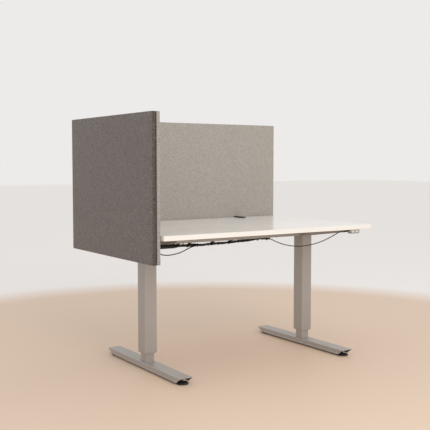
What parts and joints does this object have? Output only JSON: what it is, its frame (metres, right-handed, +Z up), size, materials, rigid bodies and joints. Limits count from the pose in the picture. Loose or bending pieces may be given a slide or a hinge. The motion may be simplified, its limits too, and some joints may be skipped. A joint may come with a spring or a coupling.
{
  "type": "study carrel",
  "caption": "Height-adjustable desk on two telescopic legs, with a felt screen on its left end and one along its back edge.",
  "frame": {"origin": "on the floor, under the middle of the whole outline, screens included", "axes": "+X along the tabletop's width, to the right of someone sitting at it; +Y to the back, towards the back screen; +Z up"},
  "size_m": [1.244, 0.858, 1.19],
  "materials": {
    "grey_steel": "fine satin powder coat",
    "white_laminate": "smooth white laminate",
    "white_edging": "satin",
    "dark_felt": "mottled wool felt",
    "light_felt": "mottled wool felt",
    "core_board": "raw chipboard",
    "seam_tape": "woven tape",
    "black_plastic": "fine texture",
    "grey_plastic": "fine texture",
    "dark_grey_plastic": "fine texture",
    "ivory_plastic": "smooth acetal",
    "white_plastic": "smooth",
    "black_steel": "satin powder coat",
    "bright_steel": "zinc plated",
    "black_rubber": "matt",
    "black_cable": "matt sheath",
    "earth_cable": "green and yellow sheath"
  },
  "bodies": {
    "base": {"left_foot": "grey_steel", "right_foot": "grey_steel", "left_inner_tube": "grey_steel", "right_inner_tube": "grey_steel", "foot_screws": "bright_steel"},
    "front_left_foot_glide": {"front_left_glide": "black_plastic"},
    "front_right_foot_glide": {"front_right_glide": "black_plastic"},
    "back_left_foot_glide": {"back_left_glide": "black_plastic"},
    "back_right_foot_glide": {"back_right_glide": "black_plastic"},
    "left_middle_stage": {"left_middle_tube": "grey_steel", "left_middle_collar": "grey_plastic", "left_spindle_nut": "ivory_plastic"},
    "right_middle_stage": {"right_middle_tube": "grey_steel", "right_middle_collar": "grey_plastic", "right_spindle_nut": "ivory_plastic"},
    "left_lift_spindle": {"left_spindle": "bright_steel"},
    "right_lift_spindle": {"right_spindle": "bright_steel"},
    "desk": {"left_outer_tube": "grey_steel", "right_outer_tube": "grey_steel", "left_outer_collar": "grey_plastic", "right_outer_collar": "grey_plastic", "left_gearbox": "dark_grey_plastic", "right_gearbox": "dark_grey_plastic", "left_motor": "black_steel", "right_motor": "black_steel", "left_arm": "grey_steel", "right_arm": "grey_steel", "crossbeam": "grey_steel", "frame_bolts": "bright_steel", "table_screws": "bright_steel", "tabletop": "white_laminate", "edging": "white_edging", "side_screen_core": "core_board", "side_screen_dark_cover": "dark_felt", "side_screen_light_cover": "light_felt", "side_screen_seam": "seam_tape", "back_screen_core": "core_board", "back_screen_dark_cover": "dark_felt", "back_screen_light_cover": "light_felt", "back_screen_seam": "seam_tape", "side_clamps": "black_steel", "back_clamps": "black_steel", "clamp_pads": "black_rubber", "screen_screws": "bright_steel", "control_box_cradle": "grey_steel", "control_box": "dark_grey_plastic", "cable_bundle": "black_cable", "cable_clips": "black_plastic", "right_motor_lead": "black_cable", "left_motor_lead": "black_cable", "earth_lead": "earth_cable", "handset_cable": "black_cable", "cable_relief": "black_plastic", "handset": "grey_plastic"},
    "side_front_clamp_thumb": {"side_front_clamp_screw": "black_steel"},
    "side_back_clamp_thumb": {"side_back_clamp_screw": "black_steel"},
    "back_left_clamp_thumb": {"back_left_clamp_screw": "black_steel"},
    "back_right_clamp_thumb": {"back_right_clamp_screw": "black_steel"},
    "up_key": {"up_button": "white_plastic"},
    "down_key": {"down_button": "white_plastic"}
  },
  "joints": [
    {"name": "desk_lift", "type": "slide", "parent": "base", "child": "desk", "axis": [0, 0, 1], "range_m": [-0.025, 0.625]},
    {"name": "left_middle_slide", "type": "slide", "parent": "base", "child": "left_middle_stage", "axis": [0, 0, 1], "range_m": [-0.0126, 0.3126]},
    {"name": "right_middle_slide", "type": "slide", "parent": "base", "child": "right_middle_stage", "axis": [0, 0, 1], "range_m": [-0.0126, 0.3126]},
    {"name": "left_spindle_spin", "type": "hinge", "parent": "desk", "child": "left_lift_spindle", "pos_m": [-0.452, -0.045, 0.5], "axis": [0, 0, 1], "range_deg": [-455, 11255]},
    {"name": "right_spindle_spin", "type": "hinge", "parent": "desk", "child": "right_lift_spindle", "pos_m": [0.496, -0.045, 0.5], "axis": [0, 0, 1], "range_deg": [-455, 11255]},
    {"name": "front_left_glide_thread", "type": "slide", "parent": "base", "child": "front_left_foot_glide", "axis": [0, 0, 1], "range_m": [-0.008, 0]},
    {"name": "front_right_glide_thread", "type": "slide", "parent": "base", "child": "front_right_foot_glide", "axis": [0, 0, 1], "range_m": [-0.008, 0]},
    {"name": "back_left_glide_thread", "type": "slide", "parent": "base", "child": "back_left_foot_glide", "axis": [0, 0, 1], "range_m": [-0.008, 0]},
    {"name": "back_right_glide_thread", "type": "slide", "parent": "base", "child": "back_right_foot_glide", "axis": [0, 0, 1], "range_m": [-0.008, 0]},
    {"name": "side_front_clamp_thread", "type": "slide", "parent": "desk", "child": "side_front_clamp_thumb", "axis": [0, 0, 1], "range_m": [-0.016, 0]},
    {"name": "side_back_clamp_thread", "type": "slide", "parent": "desk", "child": "side_back_clamp_thumb", "axis": [0, 0, 1], "range_m": [-0.016, 0]},
    {"name": "back_left_clamp_thread", "type": "slide", "parent": "desk", "child": "back_left_clamp_thumb", "axis": [0, 0, 1], "range_m": [-0.016, 0]},
    {"name": "back_right_clamp_thread", "type": "slide", "parent": "desk", "child": "back_right_clamp_thumb", "axis": [0, 0, 1], "range_m": [-0.016, 0]},
    {"name": "up_key_press", "type": "slide", "parent": "desk", "child": "up_key", "axis": [0, 1, 0], "range_m": [0, 0.0012], "stiffness_N_per_m": 300, "springref_m": -0.0008},
    {"name": "down_key_press", "type": "slide", "parent": "desk", "child": "down_key", "axis": [0, 1, 0], "range_m": [0, 0.0012], "stiffness_N_per_m": 300, "springref_m": -0.0008}
  ],
  "couplings": [
    {"joint": "left_middle_slide", "follows": "desk_lift", "ratio": 0.5},
    {"joint": "right_middle_slide", "follows": "desk_lift", "ratio": 0.5},
    {"joint": "left_spindle_spin", "follows": "desk_lift", "rad_per_m": 314.16},
    {"joint": "right_spindle_spin", "follows": "desk_lift", "rad_per_m": 314.16}
  ]
}
